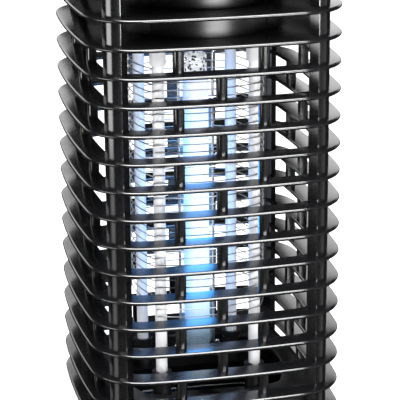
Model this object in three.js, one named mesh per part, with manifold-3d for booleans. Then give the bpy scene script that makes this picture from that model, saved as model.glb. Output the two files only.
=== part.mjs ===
// Electric bug zapper: a square lantern of stacked black fins round a lamp and a high-voltage grid.
// Millimetres, +Z up, origin on the floor under the middle. The front is -Y.
import * as THREE from 'three';
import { mergeVertices } from 'three/addons/utils/BufferGeometryUtils.js';
import Module from 'manifold-3d';

const wasm = await Module();
wasm.setup();

// ---- driving dimensions ----

// cage: a stack of flat rings joined by corner posts and by short bars between neighbours
const FIN_COUNT = 18;
const FIN_PITCH = 14;
const FIN_THICKNESS = 2;
const FIN_WIDTH = 11.5;            // from a ring's outer edge to its inner edge
const FIRST_FIN_Z = 34;            // middle of the lowest ring
const CLOSED_FINS = 4;             // the top ones are plates that run in to the chamber
const HALF_WIDTH = 66.5;           // axis to the middle of a side
const BOW_RADIUS = 476;            // the sides bulge a little
const CORNER_RADIUS = 28;
const BAR_WIDTH = 5;
const BAR_TAPER = 0.8;             // width of a bar's front as a share of its back
const BAR_INSET = 6.5;             // ring's outer edge to the front of a bar
const BAR_SPACING = 21.2;          // the paired bars stand this far either side of the middle
const POST_FACE_WIDTH = 4.3;
const POST_WIDTH = 10.8;
const POST_DEPTH = 7.2;
const POST_INSET = 3.9;            // ring's corner to the outer face of a post
const POST_SHOULDER = 1.8;         // how far a post's flanks stand back from its face
const WEB_THICKNESS = 3;           // diagonal plates from the chamber to the posts

// electronics chamber inside the top of the cage
const CHAMBER_FRONT = 46.9;        // axis to the front of a rounded side
const CHAMBER_ARC_RADIUS = 31.5;
const CHAMBER_ARC_HALF_WIDTH = 23.4;
const CHAMBER_WALL = 2;
const CHAMBER_FLOOR = 2.5;
const CHAMBER_FLANGE = 3;          // the case hangs by this lip on the highest fin
const STANDOFF_OFFSET = 36;
const STANDOFF_RADIUS = 3.2;
const BOARD_CLEARANCE = 3;         // lamp socket to circuit board
const BOARD_EDGE_GAP = 1;
const BOARD_THICKNESS = 1.6;

// parts on the board: width, depth and height, and where each stands
const TRANSFORMER_AT = [-6, -12];
const TRANSFORMER_CORE = [24, 7, 15];
const TRANSFORMER_COIL = [16, 18, 11];
const FILM_CAPACITOR = [18, 7, 12];
const FILM_CAPACITORS_AT = [[-10, 14], [12, 14]];
const FILTER_CAPACITOR_AT = [18, -8];
const FILTER_CAPACITOR_RADIUS = 5;
const FILTER_CAPACITOR_HEIGHT = 15;
const TERMINAL_BLOCK = [20, 9, 9];
const TERMINAL_BLOCK_AT = [0, 27];
const TERMINAL_PITCH = 6;
const TERMINAL_RADIUS = 1.8;
const TERMINAL_DEPTH = 4;

// killing grid
const ROD_OFFSET = 24.7;           // axis to a rod, along X and along Y
const ROD_RADIUS = 3;
const ROD_END_Z = 51.4;
const ROD_RISE = 6;                // how far a rod runs up past the chamber's floor
const SLEEVE_WALL = 0.8;
const SLEEVE_LENGTH = 14.7;
const WIRE_RADIUS = 0.3;
const WIRE_SPACING = 3.955;        // between neighbouring lines of the two windings
const WIRE_TURNS = 16;
const WIRE_BOW_ANGLE = 0.42;       // a side of a winding leaves its rod at this angle

// lamp
const GLASS_RADIUS = 7.8;
const GLASS_WALL = 1;
const GLASS_END_Z = 52.8;
const CAP_LENGTH = 30;
const CAP_WALL = 1.4;
const SOCKET_WALL = 4;
const SOCKET_FLANGE = 2;
const SOCKET_LENGTH = 40;
const SOCKET_DROP = 10;            // how far the socket reaches below the chamber
const GUARD_RADIUS = 0.75;
const GUARD_EYE_RADIUS = 1.4;
const GUARD_EYE_RISE = 2.3;         // eye's middle above the end of the glass
const GUARD_BEND = 6;               // length of the bend that takes a guard out past the socket
const GUARD_RISE = 2;              // how far a guard runs up past the chamber's floor
const STEM_LENGTH = 48;
const STEM_TIP_RADIUS = 1.2;
const STEM_NECK_RADIUS = 2.5;
const STEM_NECK_LENGTH = 14;
const STEM_FLARE_LENGTH = 10;

// lower deck, tray and feet
const DECK_THICKNESS = 2.5;
const DECK_FLANGE = 4;
const DECK_RISE = 11;              // deck's top above the middle of the lowest ring
const DECK_FLANGE_INSET = 3.5;
const DROP_HALF_WIDTH = 44;        // axis to the middle of a bowed side of the opening in the deck
const DROP_BOW_RADIUS = 77;
const ARM_WIDTH = 9;               // arms across the opening's corners that carry the rods
const ARM_THICKNESS = 4;
const ARM_DROP = 5;                // deck's top to an arm's top
const PILLAR_RADIUS = 5;
const CLIP_WALL = 1.8;
const CLIP_HEIGHT = 3.2;
const CLIP_SLOT = 5;
const TRAY_INSET = 6;
const TRAY_WALL = 2;
const SPIGOT_WALL = 2;
const SPIGOT_DEPTH = 8;
const FOOT_RADIUS = 6;
const FOOT_HEIGHT = 3;
const FOOT_CHAMFER = 0.8;
const FOOT_OFFSET = 42;

// top cover and hanging loop
const COVER_SKIRT = 5;
const COVER_STEP_INSET = 9;
const COVER_STEP = 7;
const COVER_WALL = 2.4;
const LOOP_WIRE_RADIUS = 1.75;
const LOOP_HALF_WIDTH = 26;
const LOOP_REACH = 32;
const LOOP_BEND = 8;
const LOOP_FLOAT = 0.9;            // lowest point of the loop's wire above the cover
const PIN_OVERHANG = 1;            // how far the loop's ends stick out of the ears
const EAR_THICKNESS = 4;
const EAR_RADIUS = 4.5;
const GLAND_RADIUS = 6;
const GLAND_BORE = 3.4;
const GLAND_Y = 46;
const GLAND_COLLAR = 2;            // how far its collar stands out, and the collar's top above the cover
const GLAND_HEIGHT = 6;
const GLAND_TAIL = 4;
const GLAND_LIP = 1.2;

// fasteners
const SCREW_RADIUS = 1.5;
const SCREW_HEAD_RADIUS = 3;
const SCREW_HEAD_HEIGHT = 2.2;
const SCREW_LENGTH = 12;
const HOLE_SPARE = 4;              // how much deeper than its screw a blind hole is
const SCREW_SHIFT = 1.2;           // keeps a hole clear of the parting of the two cage halves

// clearances
const GAP = 0.3;                   // between pieces that touch
const RUN = 0.4;                   // round a piece that is pushed in or turns
const SINK = 0.4;                  // how deep a bar or web runs into the piece that it joins

// ---- solids ----

const toSolid = (geometry) => {
  const bare = geometry.clone();
  bare.deleteAttribute('normal');
  bare.deleteAttribute('uv');
  const merged = mergeVertices(bare, 1e-4);
  return new wasm.Manifold(new wasm.Mesh({
    numProp: 3,
    vertProperties: Float32Array.from(merged.attributes.position.array),
    triVerts: Uint32Array.from(merged.index.array),
  }));
};

const toGeometry = (solid) => {
  const { vertProperties, triVerts } = solid.getMesh();
  const geometry = new THREE.BufferGeometry();
  geometry.setAttribute('position', new THREE.BufferAttribute(vertProperties, 3));
  geometry.setIndex(new THREE.BufferAttribute(triVerts, 1));
  return geometry;
};

const join = (...geometries) => toGeometry(
  geometries.map(toSolid).reduce((whole, next) => whole.add(next)));

const cut = (geometry, ...tools) => toGeometry(
  tools.map(toSolid).reduce((whole, next) => whole.subtract(next), toSolid(geometry)));

const common = (geometry, keep) => toGeometry(toSolid(geometry).intersect(toSolid(keep)));

const plate = (outline, fromZ, toZ, ...holes) => {
  const shape = new THREE.Shape(outline);
  shape.holes = holes.map((hole) => new THREE.Path(hole));
  const geometry = new THREE.ExtrudeGeometry(shape, { depth: toZ - fromZ, bevelEnabled: false });
  return geometry.translate(0, 0, fromZ);
};

const block = (width, depth, height, x, y, z) =>
  new THREE.BoxGeometry(width, depth, height).translate(x, y, z);

// an upright cylinder between two heights
const drum = (radius, fromZ, toZ, x = 0, y = 0, sides = 16) =>
  new THREE.CylinderGeometry(radius, radius, toZ - fromZ, sides)
    .rotateX(Math.PI / 2).translate(x, y, (fromZ + toZ) / 2);

// a turned piece: pairs of radius and height, up its outside and back down its bore
const turned = (profile, sides = 16) =>
  new THREE.LatheGeometry(profile.map(([r, z]) => new THREE.Vector2(r, z)), sides)
    .rotateX(Math.PI / 2);

const arc = (cx, cy, radius, from, to, steps) =>
  Array.from({ length: steps + 1 }, (_, i) => {
    const angle = from + ((to - from) * i) / steps;
    return new THREE.Vector2(cx + radius * Math.cos(angle), cy + radius * Math.sin(angle));
  });

const quarterTurns = (points) => [0, 1, 2, 3].flatMap((turn) =>
  points.map((p) => p.clone().rotateAround(new THREE.Vector2(), (turn * Math.PI) / 2)));

const corners = [[-1, -1], [1, -1], [1, 1], [-1, 1]];

// ---- outline that the rings, cover, deck and tray share ----

const bowCentre = BOW_RADIUS - HALF_WIDTH;
const reach = BOW_RADIUS - CORNER_RADIUS;
const cornerCentre = (Math.sqrt(2 * reach ** 2 - bowCentre ** 2) - bowCentre) / 2;
const bowAngle = Math.atan2(cornerCentre, cornerCentre + bowCentre);
const cornerReach = cornerCentre * Math.SQRT2 + CORNER_RADIUS;

const outline = (inset, sideSteps = 2, cornerSteps = 4) => quarterTurns([
  ...arc(-bowCentre, 0, BOW_RADIUS - inset, -bowAngle, bowAngle, sideSteps),
  ...arc(cornerCentre, cornerCentre, CORNER_RADIUS - inset, bowAngle, Math.PI / 2 - bowAngle,
    cornerSteps).slice(1, -1),
]);

const finZ = (index) => FIRST_FIN_Z + index * FIN_PITCH;
const finTop = (index) => finZ(index) + FIN_THICKNESS / 2;
const finUnder = (index) => finZ(index) - FIN_THICKNESS / 2;
const topFin = FIN_COUNT - 1;
const floorFin = FIN_COUNT - CLOSED_FINS;

// ---- levels ----

const chamberUnderZ = finUnder(floorFin);
const chamberFloorZ = chamberUnderZ + CHAMBER_FLOOR;
const chamberTopZ = finTop(topFin);
const coverUnderZ = chamberTopZ + GAP;
const coverTopZ = coverUnderZ + COVER_SKIRT + COVER_STEP;
const deckTopZ = FIRST_FIN_Z + DECK_RISE;
const flangeTopZ = finUnder(0) - GAP;
const flangeUnderZ = flangeTopZ - DECK_FLANGE;
const trayTopZ = flangeUnderZ - GAP;
const trayUnderZ = FOOT_HEIGHT + GAP;

// ---- chamber outline: four rounded sides joined by flat corners ----

const chamberArcCentre = CHAMBER_FRONT - CHAMBER_ARC_RADIUS;
const chamberArcAngle = Math.asin(CHAMBER_ARC_HALF_WIDTH / CHAMBER_ARC_RADIUS);
const chamberCornerReach = (chamberArcCentre + CHAMBER_ARC_RADIUS * Math.cos(chamberArcAngle)
  + CHAMBER_ARC_HALF_WIDTH) / Math.SQRT2;

const chamberOutline = (inset) => quarterTurns(arc(
  chamberArcCentre, 0, CHAMBER_ARC_RADIUS - inset, -chamberArcAngle, chamberArcAngle, 6));

// ---- cage ----

const postPiece = (fromZ, toZ) => {
  const face = cornerReach - POST_INSET;
  const shoulder = face - POST_SHOULDER;
  const back = face - POST_DEPTH;
  const section = [
    [back, -POST_WIDTH / 2], [shoulder, -POST_WIDTH / 2], [face, -POST_FACE_WIDTH / 2],
    [face, POST_FACE_WIDTH / 2], [shoulder, POST_WIDTH / 2], [back, POST_WIDTH / 2],
  ].map(([x, y]) => new THREE.Vector2(x, y));
  return plate(section, fromZ, toZ);
};

const barPiece = (along, row) => {
  const local = Math.sqrt(BOW_RADIUS ** 2 - along ** 2) - bowCentre;
  const front = local - BAR_INSET;
  const back = local - FIN_WIDTH + SINK / 2;
  const half = BAR_WIDTH / 2;
  const section = [
    [back, along - half], [front, along - half * BAR_TAPER],
    [front, along + half * BAR_TAPER], [back, along + half],
  ].map(([x, y]) => new THREE.Vector2(x, y));
  return plate(section, finTop(row) - SINK, finUnder(row + 1) + SINK);
};

const webPiece = () => {
  const inner = chamberCornerReach + RUN;
  const outer = cornerReach - POST_INSET - POST_DEPTH + SINK;
  return block(outer - inner, WEB_THICKNESS, finZ(topFin) - finZ(floorFin),
    (outer + inner) / 2, 0, (finZ(topFin) + finZ(floorFin)) / 2);
};

const screwSpots = corners.map(([x, y]) => {
  const radius = cornerReach - POST_INSET - POST_DEPTH / 2;
  const shift = x === y ? -x * SCREW_SHIFT : 0;
  return { x: (x * radius + shift) / Math.SQRT2, y: (y * radius - shift) / Math.SQRT2 };
});

const postTopZ = finTop(topFin);
const wholeCage = () => {
  const pieces = [];
  for (let i = 0; i < FIN_COUNT; i += 1) {
    const inner = i < floorFin ? outline(FIN_WIDTH) : chamberOutline(-RUN);
    pieces.push(plate(outline(0), finUnder(i), finTop(i), inner));
  }
  for (let side = 0; side < 4; side += 1) {
    const turn = (side * Math.PI) / 2;
    for (let row = 0; row < floorFin; row += 1) {
      const places = row % 2 ? [-BAR_SPACING, BAR_SPACING] : [0];
      places.forEach((along) => pieces.push(barPiece(along, row).rotateZ(turn)));
    }
    pieces.push(postPiece(finUnder(0), postTopZ).rotateZ(turn + Math.PI / 4));
    pieces.push(webPiece().rotateZ(turn + Math.PI / 4));
  }
  return join(...pieces);
};

// The halves part beside the front left and the back right post, so each half keeps a whole post face
// at one end and a flank at the other, and the two halves are the same moulding.
const partingAt = POST_FACE_WIDTH / 2 + GAP / 2;
const far = 2 * HALF_WIDTH;
const keepRegion = [
  [-far, -partingAt + GAP / 2], [0, -partingAt + GAP / 2], [0, partingAt + GAP / 2],
  [far, partingAt + GAP / 2], [far, far], [-far, far],
].map(([along, across]) => new THREE.Vector2(
  (along + across) / Math.SQRT2, (along - across) / Math.SQRT2));

const screwHoles = screwSpots.flatMap(({ x, y }) => [
  drum(SCREW_RADIUS + GAP, finUnder(0) - SINK, flangeUnderZ + SCREW_LENGTH + HOLE_SPARE, x, y, 8),
  drum(SCREW_RADIUS + GAP, coverUnderZ - SCREW_LENGTH, postTopZ + SINK, x, y, 8),
]);

const cageHalf = () => cut(
  common(wholeCage(), plate(keepRegion, 0, coverTopZ)), ...screwHoles);

// ---- chamber, sleeves, rods and windings ----

const rodSpots = corners.map(([x, y]) => ({ x: x * ROD_OFFSET, y: y * ROD_OFFSET, outward: y }));
const rodTopZ = chamberFloorZ + ROD_RISE;
const sleeveTopZ = chamberUnderZ - GAP;
const sleeveUnderZ = sleeveTopZ - SLEEVE_LENGTH;
const wireTopZ = sleeveUnderZ - GAP - WIRE_RADIUS;
const sleeveRadius = ROD_RADIUS + GAP + SLEEVE_WALL;
const capRadius = GLASS_RADIUS + RUN + CAP_WALL;
const socketBore = capRadius + RUN;
const socketRadius = socketBore + SOCKET_WALL;
const socketUnderZ = chamberUnderZ - SOCKET_DROP;
const socketTopZ = socketUnderZ + SOCKET_LENGTH;

const guardOffset = socketRadius + SOCKET_FLANGE + RUN + GUARD_RADIUS;
const boardSpots = [[1, 0], [0, 1], [-1, 0], [0, -1]].map(([x, y]) => (
  { x: x * STANDOFF_OFFSET, y: y * STANDOFF_OFFSET }));
const boardZ = socketTopZ + BOARD_CLEARANCE;

const chamberCase = () => cut(
  join(
    cut(
      join(
        plate(chamberOutline(0), chamberUnderZ, coverUnderZ + CHAMBER_WALL),
        plate(chamberOutline(-CHAMBER_FLANGE), coverUnderZ, coverUnderZ + CHAMBER_WALL),
      ),
      plate(chamberOutline(CHAMBER_WALL), chamberFloorZ, coverUnderZ + CHAMBER_WALL + SINK),
    ),
    ...boardSpots.map(({ x, y }) => drum(STANDOFF_RADIUS, chamberFloorZ - SINK, boardZ - GAP, x, y, 10)),
  ),
  drum(socketRadius + RUN, chamberUnderZ - SINK, chamberFloorZ + SINK, 0, 0, 20),
  ...rodSpots.map(({ x, y }) =>
    drum(ROD_RADIUS + GAP, chamberUnderZ - SINK, chamberFloorZ + SINK, x, y, 12)),
  ...[-1, 1].map((side) => drum(GUARD_RADIUS + GAP, chamberUnderZ - SINK, chamberFloorZ + SINK,
    side * guardOffset, 0, 8)),
  ...boardSpots.map(({ x, y }) =>
    drum(SCREW_RADIUS + GAP, boardZ - SCREW_LENGTH - HOLE_SPARE, boardZ, x, y, 8)),
);

const rod = ({ x, y }) => drum(ROD_RADIUS, ROD_END_Z, rodTopZ, x, y, 12);

const sleeve = ({ x, y }) => {
  const bore = ROD_RADIUS + GAP;
  return turned([
    [bore, sleeveUnderZ], [sleeveRadius - SLEEVE_WALL / 2, sleeveUnderZ],
    [sleeveRadius, sleeveUnderZ + SLEEVE_WALL], [sleeveRadius, sleeveTopZ], [bore, sleeveTopZ],
    [bore, sleeveUnderZ],
  ], 12).translate(x, y, 0);
};

// One winding: bowed sides and tight turns round the rods, climbing as it goes round. Its parameter is
// already its length, so it is stepped evenly with a step at the middle of each turn round a rod.
class Winding extends THREE.Curve {
  constructor(topZ, quarters) {
    super();
    this.topZ = topZ;
    this.quarters = quarters;
    this.turnRadius = ROD_RADIUS + GAP + 2 * WIRE_RADIUS;
    this.bowRadius = ROD_OFFSET / Math.sin(WIRE_BOW_ANGLE);
    this.bowCentre = this.bowRadius * Math.cos(WIRE_BOW_ANGLE) - ROD_OFFSET;
    this.turnAngle = Math.PI / 2 - 2 * WIRE_BOW_ANGLE;
  }

  getPoint(t, target = new THREE.Vector3()) {
    const bowLength = 2 * WIRE_BOW_ANGLE * (this.bowRadius + this.turnRadius);
    const turnLength = this.turnAngle * this.turnRadius;
    const length = bowLength + turnLength;
    const quarter = Math.min(Math.floor(t * this.quarters + 1e-9), this.quarters);
    const along = (t * this.quarters - quarter) * length - turnLength / 2;
    const flat = new THREE.Vector2();
    if (along < 0 || along > bowLength) {
      const nextRod = along > bowLength;
      const angle = nextRod
        ? WIRE_BOW_ANGLE + (along - bowLength) / this.turnRadius
        : -WIRE_BOW_ANGLE + along / this.turnRadius;
      flat.set(ROD_OFFSET + this.turnRadius * Math.cos(angle),
        (nextRod ? ROD_OFFSET : -ROD_OFFSET) + this.turnRadius * Math.sin(angle));
    } else {
      const angle = along / (this.bowRadius + this.turnRadius) - WIRE_BOW_ANGLE;
      flat.set((this.bowRadius + this.turnRadius) * Math.cos(angle) - this.bowCentre,
        (this.bowRadius + this.turnRadius) * Math.sin(angle));
    }
    flat.rotateAround(new THREE.Vector2(), ((quarter - 1) * Math.PI) / 2);
    const down = ((1 - t) * this.quarters * WIRE_SPACING) / 2;
    return target.set(flat.x, flat.y, this.topZ - down);
  }

  getPointAt(u, target) {
    return this.getPoint(u, target);
  }

  getTangentAt(u, target) {
    return this.getTangent(u, target);
  }
}

const stepsPerSide = 3;
const winding = (topZ) => {
  const quarters = WIRE_TURNS * 4;
  const section = new THREE.Shape(arc(0, 0, WIRE_RADIUS, 0, 1.5 * Math.PI, 3));
  return new THREE.ExtrudeGeometry(section, {
    steps: quarters * stepsPerSide,
    extrudePath: new Winding(topZ, quarters),
    bevelEnabled: false,
  });
};

// ---- lamp ----

const capTopZ = socketTopZ - SOCKET_WALL - RUN;
const capUnderZ = capTopZ - CAP_LENGTH;
const contactRadius = 2;

const lampSocket = () => turned([
  [socketRadius, socketUnderZ], [socketRadius, chamberFloorZ + GAP],
  [socketRadius + SOCKET_FLANGE, chamberFloorZ + GAP],
  [socketRadius + SOCKET_FLANGE, chamberFloorZ + GAP + SOCKET_FLANGE],
  [socketRadius, chamberFloorZ + GAP + SOCKET_FLANGE], [socketRadius, socketTopZ],
  [contactRadius + GAP, socketTopZ], [contactRadius + GAP, socketTopZ - SOCKET_WALL],
  [socketBore, socketTopZ - SOCKET_WALL], [socketBore, socketUnderZ], [socketRadius, socketUnderZ],
], 20);

const lampCap = () => turned([
  [capRadius, capUnderZ], [capRadius, capTopZ], [contactRadius + GAP, capTopZ],
  [contactRadius + GAP, capTopZ - CAP_WALL], [capRadius - CAP_WALL, capTopZ - CAP_WALL],
  [capRadius - CAP_WALL, capUnderZ], [capRadius, capUnderZ],
], 20);

const lampContact = () => drum(contactRadius, capTopZ - CAP_WALL, socketTopZ, 0, 0, 12);

const glassTopZ = capTopZ - 2 * CAP_WALL;
const roundEnd = (radius, endZ) => arc(0, endZ + radius, radius, -Math.PI / 2, 0, 4)
  .map(({ x, y }) => [x, y]);

const lampGlass = () => {
  const inside = GLASS_RADIUS - GLASS_WALL;
  const middle = GLASS_END_Z + GLASS_WALL;
  return turned([
    [0, GLASS_END_Z], ...roundEnd(GLASS_RADIUS, GLASS_END_Z).slice(1), [GLASS_RADIUS, glassTopZ],
    [inside, glassTopZ], ...roundEnd(inside, middle).slice(1).reverse(), [0, middle],
  ], 20);
};

const stemUnderZ = glassTopZ - STEM_LENGTH;
const stemRadius = GLASS_RADIUS - GLASS_WALL - 2 * GAP;
const lampStem = () => turned([
  [0, stemUnderZ], [STEM_TIP_RADIUS, stemUnderZ],
  [STEM_NECK_RADIUS, stemUnderZ + STEM_NECK_LENGTH / 2],
  [STEM_NECK_RADIUS, stemUnderZ + STEM_NECK_LENGTH],
  [stemRadius, stemUnderZ + STEM_NECK_LENGTH + STEM_FLARE_LENGTH],
  [stemRadius, glassTopZ], [0, glassTopZ],
], 12);

const lampGuard = (side) => {
  const x = side * (GLASS_RADIUS + GUARD_RADIUS + RUN);
  const under = GLASS_END_Z + GUARD_EYE_RISE;
  const eye = new THREE.TorusGeometry(GUARD_EYE_RADIUS, GUARD_RADIUS, 6, 12)
    .rotateX(Math.PI / 2).translate(x + side * GUARD_EYE_RADIUS, 0, under);
  const bendFrom = socketUnderZ - GUARD_BEND;
  const bendTo = socketUnderZ + GAP;
  const bend = [0, 0.2, 0.4, 0.6, 0.8, 1].map((t) => new THREE.Vector3(
    THREE.MathUtils.lerp(x, side * guardOffset, THREE.MathUtils.smoothstep(t, 0, 1)), 0,
    THREE.MathUtils.lerp(bendFrom, bendTo, t)));
  const bent = new THREE.CatmullRomCurve3([
    new THREE.Vector3(x, 0, under), new THREE.Vector3(x, 0, bendFrom - GUARD_BEND), ...bend,
    new THREE.Vector3(side * guardOffset, 0, chamberFloorZ + GUARD_RISE),
  ], false, 'centripetal');
  const leg = new THREE.ExtrudeGeometry(
    new THREE.Shape(arc(0, 0, GUARD_RADIUS, 0, (5 / 3) * Math.PI, 5)),
    { steps: 24, extrudePath: bent, bevelEnabled: false });
  return join(eye, leg);
};

// ---- lower deck, clips, tray, feet ----

const pillarTopZ = ROD_END_Z - GAP - CLIP_WALL - GAP;
const clipRadius = ROD_RADIUS + GAP + CLIP_WALL;
const spigotInset = TRAY_INSET + TRAY_WALL + RUN;

const deckSeatZ = flangeUnderZ + SCREW_HEAD_HEIGHT + GAP;
const coverSeatZ = coverUnderZ + COVER_SKIRT - SCREW_HEAD_HEIGHT - GAP;

const dropBowCentre = DROP_BOW_RADIUS - DROP_HALF_WIDTH;
const dropCorner = (Math.sqrt(2 * DROP_BOW_RADIUS ** 2 - dropBowCentre ** 2) - dropBowCentre) / 2;
const dropAngle = Math.atan2(dropCorner, dropCorner + dropBowCentre);
const dropOutline = quarterTurns(
  arc(-dropBowCentre, 0, DROP_BOW_RADIUS, -dropAngle, dropAngle, 6).slice(1));

const lowerDeck = () => {
  const platform = FIN_WIDTH + RUN;
  const armTopZ = deckTopZ - ARM_DROP;
  const armFrom = ROD_OFFSET * Math.SQRT2;
  const armTo = cornerReach - platform - DECK_THICKNESS / 2;
  const shell = cut(
    join(
      plate(outline(DECK_FLANGE_INSET), flangeUnderZ, flangeTopZ),
      plate(outline(platform), flangeUnderZ, deckTopZ),
      plate(outline(spigotInset), flangeUnderZ - SPIGOT_DEPTH, flangeUnderZ + SINK),
    ),
    plate(outline(platform + DECK_THICKNESS), flangeUnderZ - SINK, deckTopZ - DECK_THICKNESS),
    plate(outline(spigotInset + SPIGOT_WALL), flangeUnderZ - SPIGOT_DEPTH - SINK,
      flangeUnderZ + SINK / 2),
    plate(dropOutline, flangeUnderZ - SINK, deckTopZ + SINK),
    ...screwSpots.flatMap(({ x, y }) => [
      drum(SCREW_RADIUS + GAP, flangeUnderZ - SINK, flangeTopZ + SINK, x, y, 8),
      drum(SCREW_HEAD_RADIUS + GAP, flangeUnderZ - SPIGOT_DEPTH - SINK, deckSeatZ, x, y, 12),
    ]),
  );
  return join(
    shell,
    ...corners.map(([x, y]) =>
      block(armTo - armFrom, ARM_WIDTH, ARM_THICKNESS, (armTo + armFrom) / 2, 0,
        armTopZ - ARM_THICKNESS / 2).rotateZ(Math.atan2(y, x))),
    ...rodSpots.map(({ x, y }) => drum(PILLAR_RADIUS, armTopZ - ARM_THICKNESS, pillarTopZ, x, y, 10)),
  );
};

const rodClip = ({ x, y, outward }) => {
  const under = pillarTopZ + GAP;
  const cup = turned([
    [0, under], [clipRadius, under], [clipRadius, under + CLIP_HEIGHT],
    [ROD_RADIUS + GAP, under + CLIP_HEIGHT], [ROD_RADIUS + GAP, under + CLIP_WALL],
    [0, under + CLIP_WALL],
  ], 12).translate(x, y, 0);
  const slot = block(CLIP_SLOT, clipRadius * 2, CLIP_HEIGHT, x, y + outward * clipRadius,
    under + CLIP_WALL + CLIP_HEIGHT / 2);
  return cut(cup, slot);
};

const catchTray = () => cut(
  plate(outline(TRAY_INSET), trayUnderZ, trayTopZ),
  plate(outline(TRAY_INSET + TRAY_WALL), trayUnderZ + TRAY_WALL, trayTopZ + SINK),
);

const foot = ([x, y]) => turned([
  [0, 0], [FOOT_RADIUS - FOOT_CHAMFER, 0], [FOOT_RADIUS, FOOT_CHAMFER],
  [FOOT_RADIUS, FOOT_HEIGHT], [0, FOOT_HEIGHT],
], 16).translate(x * FOOT_OFFSET, y * FOOT_OFFSET, 0);

// ---- top cover, hanging loop, gland ----

const pivotZ = coverTopZ + LOOP_FLOAT + LOOP_WIRE_RADIUS;
const earX = LOOP_HALF_WIDTH - LOOP_WIRE_RADIUS - RUN - EAR_THICKNESS / 2;
const stepTop = coverTopZ - COVER_WALL;

const topCover = () => cut(
  join(
    plate(outline(0), coverUnderZ, coverUnderZ + COVER_SKIRT),
    plate(outline(COVER_STEP_INSET), coverUnderZ, coverTopZ),
    ...[-1, 1].map((side) => new THREE.CylinderGeometry(EAR_RADIUS, EAR_RADIUS, EAR_THICKNESS, 16)
      .rotateZ(Math.PI / 2).translate(side * earX, 0, pivotZ)),
    ...[-1, 1].map((side) => block(EAR_THICKNESS, 2 * EAR_RADIUS, pivotZ - coverTopZ + SINK,
      side * earX, 0, (pivotZ + coverTopZ - SINK) / 2)),
  ),
  plate(outline(COVER_STEP_INSET + COVER_WALL), coverUnderZ - SINK, stepTop),
  new THREE.CylinderGeometry(LOOP_WIRE_RADIUS + GAP, LOOP_WIRE_RADIUS + GAP, 3 * LOOP_HALF_WIDTH, 12)
    .rotateZ(Math.PI / 2).translate(0, 0, pivotZ),
  drum(GLAND_RADIUS + GAP, stepTop - SINK, coverTopZ + SINK, 0, GLAND_Y, 16),
  ...screwSpots.map(({ x, y }) =>
    drum(SCREW_RADIUS + GAP, coverUnderZ - SINK, coverTopZ + SINK, x, y, 8)),
  ...screwSpots.map(({ x, y }) =>
    drum(SCREW_HEAD_RADIUS + GAP, coverSeatZ, coverTopZ + SINK,
      x, y, 12)),
);

const hangingLoop = () => {
  const pinEnd = earX - EAR_THICKNESS / 2 - PIN_OVERHANG;
  const bend = LOOP_BEND * (1 - Math.SQRT1_2);
  const arm = LOOP_HALF_WIDTH;
  const right = [
    [pinEnd, 0], [arm - LOOP_WIRE_RADIUS, 0], [arm, LOOP_WIRE_RADIUS], [arm, LOOP_REACH - LOOP_BEND],
    [arm - bend, LOOP_REACH - bend], [arm - LOOP_BEND, LOOP_REACH],
  ].map(([x, y]) => new THREE.Vector3(x, y, pivotZ));
  const left = right.map((p) => new THREE.Vector3(-p.x, p.y, p.z)).reverse();
  return new THREE.ExtrudeGeometry(
    new THREE.Shape(arc(0, 0, LOOP_WIRE_RADIUS, 0, (7 / 4) * Math.PI, 7)),
    { steps: 30, extrudePath: new THREE.CatmullRomCurve3([...right, ...left], false, 'centripetal'),
      bevelEnabled: false });
};

const cordGland = () => turned([
  [GLAND_BORE, stepTop - GLAND_TAIL], [GLAND_RADIUS, stepTop - GLAND_TAIL],
  [GLAND_RADIUS, coverTopZ + GAP], [GLAND_RADIUS + GLAND_COLLAR, coverTopZ + GAP],
  [GLAND_RADIUS + GLAND_COLLAR, coverTopZ + GLAND_COLLAR],
  [GLAND_BORE + GLAND_LIP, coverTopZ + GLAND_HEIGHT], [GLAND_BORE, coverTopZ + GLAND_HEIGHT],
  [GLAND_BORE, stepTop - GLAND_TAIL],
], 16).translate(0, GLAND_Y, 0);

// ---- electronics ----

const onBoardZ = boardZ + BOARD_THICKNESS + GAP;
const circuitBoard = () => cut(
  plate(chamberOutline(CHAMBER_WALL + BOARD_EDGE_GAP), boardZ, boardZ + BOARD_THICKNESS),
  ...boardSpots.map(({ x, y }) =>
    drum(SCREW_RADIUS + GAP, boardZ - SINK, boardZ + BOARD_THICKNESS + SINK, x, y, 8)),
);

const onBoard = ([width, depth, height], [x, y]) =>
  block(width, depth, height, x, y, onBoardZ + height / 2);

const transformer = () => join(
  onBoard(TRANSFORMER_CORE, TRANSFORMER_AT), onBoard(TRANSFORMER_COIL, TRANSFORMER_AT));

const filmCapacitor = (spot) => onBoard(FILM_CAPACITOR, spot);

const filterCapacitor = () => {
  const [x, y] = FILTER_CAPACITOR_AT;
  return drum(FILTER_CAPACITOR_RADIUS, onBoardZ, onBoardZ + FILTER_CAPACITOR_HEIGHT, x, y, 14);
};

const terminalBlock = () => {
  const [x, y] = TERMINAL_BLOCK_AT;
  const top = onBoardZ + TERMINAL_BLOCK[2];
  return cut(onBoard(TERMINAL_BLOCK, TERMINAL_BLOCK_AT), ...[-1, 0, 1].map((step) =>
    drum(TERMINAL_RADIUS, top - TERMINAL_DEPTH, top + SINK, x + step * TERMINAL_PITCH, y, 8)));
};

// ---- screws ----

const screw = (headSeatZ, headSide, { x, y }) => join(
  drum(SCREW_HEAD_RADIUS, 0, SCREW_HEAD_HEIGHT, 0, 0, 12),
  drum(SCREW_RADIUS, -SCREW_LENGTH, SINK, 0, 0, 8),
).rotateX(headSide > 0 ? 0 : Math.PI).translate(x, y, headSeatZ);

// ---- assembly ----

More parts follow.
